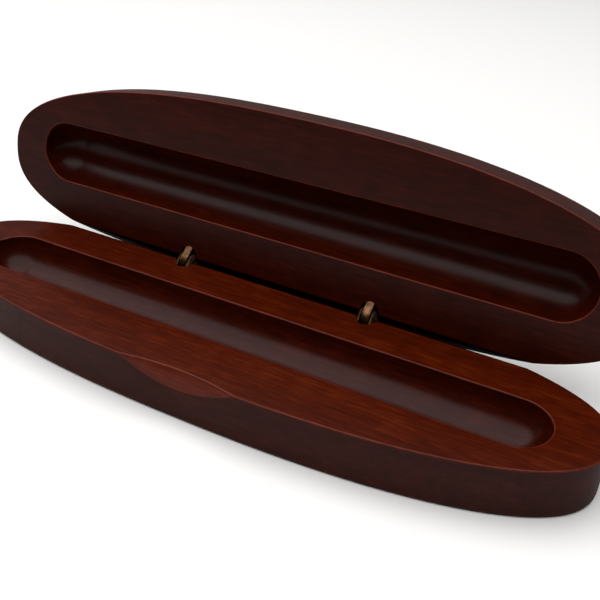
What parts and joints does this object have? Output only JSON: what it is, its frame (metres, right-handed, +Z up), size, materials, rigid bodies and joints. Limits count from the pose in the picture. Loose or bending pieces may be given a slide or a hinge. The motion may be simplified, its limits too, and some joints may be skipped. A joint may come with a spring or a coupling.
{
  "type": "pen case",
  "caption": "Oval wooden pen case, bevelled along the back, with a round-bottomed pen groove in each half and two brass barrel hinges; the opened lid leans back on the bevel.",
  "frame": {"origin": "on the flat underside of the base, under the long axis of the oval outline and midway along it", "axes": "+X along the case, -Y towards the front edge with the thumb scoop, +Z up; the hinges are at +Y"},
  "size_m": [0.175, 0.0619, 0.0552],
  "materials": {
    "mahogany": "reddish brown stain under satin lacquer",
    "aged_brass": "turned, slightly aged",
    "brass_pin": "drawn wire, cut flush"
  },
  "bodies": {
    "base": {"base": "mahogany", "left_base_barrel": "aged_brass", "right_base_barrel": "aged_brass", "left_hinge_pin": "brass_pin", "right_hinge_pin": "brass_pin"},
    "lid": {"lid": "mahogany", "left_lid_barrel": "aged_brass", "right_lid_barrel": "aged_brass"}
  },
  "joints": [
    {"name": "lid_hinge", "type": "hinge", "parent": "base", "child": "lid", "pos_m": [0, 0.0184, 0.01265], "axis": [1, 0, 0], "range_deg": [0, 100]}
  ]
}
